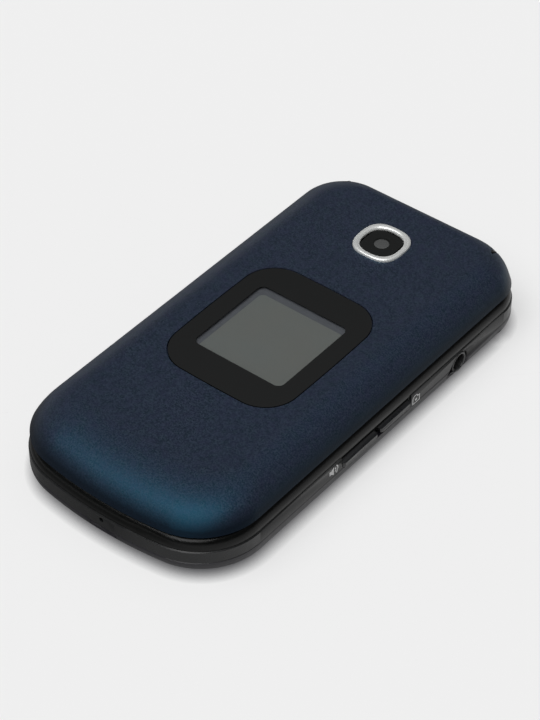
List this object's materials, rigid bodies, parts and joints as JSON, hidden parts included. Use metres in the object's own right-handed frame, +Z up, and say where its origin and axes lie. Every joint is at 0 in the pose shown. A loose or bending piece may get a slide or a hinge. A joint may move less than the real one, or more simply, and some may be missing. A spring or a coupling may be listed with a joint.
{
  "type": "flip phone",
  "caption": "Closed clamshell phone with outer display and camera, hinged lid over a keypad, rocking navigation ring, travelling keys, side keys and headset jack.",
  "frame": {"origin": "centre of the underside of the closed phone", "axes": "+Z up through the lid, +Y towards the hinge and outer camera, +X towards the side with the volume key"},
  "size_m": [0.0531, 0.1027, 0.0161],
  "materials": {
    "lid_paint": "satin pearl paint over moulded plastic",
    "housing_black": "fine grained moulding",
    "band_grey": "satin moulding",
    "cover_grey": "satin moulding",
    "window_black": "hard coated acrylic with a printed black border",
    "screen_window": "hard coated acrylic with a printed black border",
    "display_glass": "display module",
    "bright_ring": "turned and polished",
    "lens_glass": "coated lens",
    "key_plastic": "moulded key caps",
    "soft_rubber": "moulded rubber",
    "steel": "pressed or turned steel",
    "contact_brass": "gold flashed contacts",
    "board": "circuit board",
    "inner_plastic": "moulded carrier",
    "battery_wrap": "aluminium can in a printed wrap left blank"
  },
  "bodies": {
    "base": {"front_housing": "housing_black", "middle_housing": "band_grey", "rear_cover": "cover_grey", "battery": "battery_wrap", "main_board": "board", "shield_can": "steel", "dome_sheet": "steel", "sim_sockets": "steel", "battery_contacts": "contact_brass", "loudspeaker": "inner_plastic", "vibration_motor": "steel", "microphone": "steel", "headset_jack": "inner_plastic", "usb_socket": "steel", "side_key_switches": "inner_plastic", "housing_screws": "steel", "antenna": "contact_brass", "hinge_cam_shaft": "steel", "hinge_pin": "steel"},
    "lid": {"lid_cover": "lid_paint", "lid_front_frame": "housing_black", "hinge_barrel": "housing_black", "main_display_window": "screen_window", "main_display_module": "display_glass", "outer_display_window": "window_black", "outer_display_module": "display_glass", "camera_bezel": "bright_ring", "camera_window": "window_black", "camera_lens": "lens_glass", "camera_module": "inner_plastic", "earpiece_speaker": "inner_plastic", "earpiece_grille": "steel", "lid_board": "board", "lid_screws": "steel", "lid_bumpers": "soft_rubber", "hinge_cam_housing": "steel", "hinge_bush": "steel"},
    "key_1": {"key_1": "key_plastic"},
    "key_2": {"key_2": "key_plastic"},
    "key_3": {"key_3": "key_plastic"},
    "key_4": {"key_4": "key_plastic"},
    "key_5": {"key_5": "key_plastic"},
    "key_6": {"key_6": "key_plastic"},
    "key_7": {"key_7": "key_plastic"},
    "key_8": {"key_8": "key_plastic"},
    "key_9": {"key_9": "key_plastic"},
    "key_star": {"key_star": "key_plastic"},
    "key_0": {"key_0": "key_plastic"},
    "key_hash": {"key_hash": "key_plastic"},
    "soft_key_left": {"soft_key_left": "key_plastic"},
    "soft_key_right": {"soft_key_right": "key_plastic"},
    "call_key": {"call_key": "key_plastic"},
    "end_key": {"end_key": "key_plastic"},
    "clear_key": {"clear_key": "key_plastic"},
    "ok_key": {"ok_key": "key_plastic"},
    "nav_pad": {"nav_pad": "soft_rubber"},
    "nav_ring": {"nav_ring": "bright_ring"},
    "volume_rocker": {"volume_rocker": "band_grey"},
    "camera_key": {"camera_key": "band_grey"}
  },
  "joints": [
    {"name": "lid_hinge", "type": "hinge", "parent": "base", "child": "lid", "pos_m": [0, 0.04765, 0.0122], "axis": [-1, 0, 0], "range_deg": [0, 150]},
    {"name": "key_1_press", "type": "slide", "parent": "base", "child": "key_1", "axis": [0, 0, -1], "range_m": [0, 0.00022], "stiffness_N_per_m": 1000},
    {"name": "key_2_press", "type": "slide", "parent": "base", "child": "key_2", "axis": [0, 0, -1], "range_m": [0, 0.00022], "stiffness_N_per_m": 1000},
    {"name": "key_3_press", "type": "slide", "parent": "base", "child": "key_3", "axis": [0, 0, -1], "range_m": [0, 0.00022], "stiffness_N_per_m": 1000},
    {"name": "key_4_press", "type": "slide", "parent": "base", "child": "key_4", "axis": [0, 0, -1], "range_m": [0, 0.00022], "stiffness_N_per_m": 1000},
    {"name": "key_5_press", "type": "slide", "parent": "base", "child": "key_5", "axis": [0, 0, -1], "range_m": [0, 0.00022], "stiffness_N_per_m": 1000},
    {"name": "key_6_press", "type": "slide", "parent": "base", "child": "key_6", "axis": [0, 0, -1], "range_m": [0, 0.00022], "stiffness_N_per_m": 1000},
    {"name": "key_7_press", "type": "slide", "parent": "base", "child": "key_7", "axis": [0, 0, -1], "range_m": [0, 0.00022], "stiffness_N_per_m": 1000},
    {"name": "key_8_press", "type": "slide", "parent": "base", "child": "key_8", "axis": [0, 0, -1], "range_m": [0, 0.00022], "stiffness_N_per_m": 1000},
    {"name": "key_9_press", "type": "slide", "parent": "base", "child": "key_9", "axis": [0, 0, -1], "range_m": [0, 0.00022], "stiffness_N_per_m": 1000},
    {"name": "key_star_press", "type": "slide", "parent": "base", "child": "key_star", "axis": [0, 0, -1], "range_m": [0, 0.00022], "stiffness_N_per_m": 1000},
    {"name": "key_0_press", "type": "slide", "parent": "base", "child": "key_0", "axis": [0, 0, -1], "range_m": [0, 0.00022], "stiffness_N_per_m": 1000},
    {"name": "key_hash_press", "type": "slide", "parent": "base", "child": "key_hash", "axis": [0, 0, -1], "range_m": [0, 0.00022], "stiffness_N_per_m": 1000},
    {"name": "soft_key_left_press", "type": "slide", "parent": "base", "child": "soft_key_left", "axis": [0, 0, -1], "range_m": [0, 0.00022], "stiffness_N_per_m": 1000},
    {"name": "soft_key_right_press", "type": "slide", "parent": "base", "child": "soft_key_right", "axis": [0, 0, -1], "range_m": [0, 0.00022], "stiffness_N_per_m": 1000},
    {"name": "call_key_press", "type": "slide", "parent": "base", "child": "call_key", "axis": [0, 0, -1], "range_m": [0, 0.00022], "stiffness_N_per_m": 1000},
    {"name": "end_key_press", "type": "slide", "parent": "base", "child": "end_key", "axis": [0, 0, -1], "range_m": [0, 0.00022], "stiffness_N_per_m": 1000},
    {"name": "clear_key_press", "type": "slide", "parent": "base", "child": "clear_key", "axis": [0, 0, -1], "range_m": [0, 0.00022], "stiffness_N_per_m": 1000},
    {"name": "ok_key_press", "type": "slide", "parent": "base", "child": "ok_key", "axis": [0, 0, -1], "range_m": [0, 0.00022], "stiffness_N_per_m": 1000},
    {"name": "nav_tilt_up_down", "type": "hinge", "parent": "base", "child": "nav_pad", "pos_m": [0, 0.02135, 0.0078], "axis": [1, 0, 0], "range_deg": [-0.7, 0.7], "stiffness_Nm_per_rad": 0.2},
    {"name": "nav_tilt_left_right", "type": "hinge", "parent": "nav_pad", "child": "nav_ring", "pos_m": [0, 0.02135, 0.0078], "axis": [0, 1, 0], "range_deg": [-0.7, 0.7], "stiffness_Nm_per_rad": 0.2},
    {"name": "volume_rock", "type": "hinge", "parent": "base", "child": "volume_rocker", "pos_m": [0.025, -0.00605, 0.00515], "axis": [0, 0, 1], "range_deg": [-1.5, 1.5], "stiffness_Nm_per_rad": 0.1},
    {"name": "camera_key_press", "type": "slide", "parent": "base", "child": "camera_key", "axis": [-1, 0, 0], "range_m": [0, 0.0002], "stiffness_N_per_m": 1000}
  ]
}
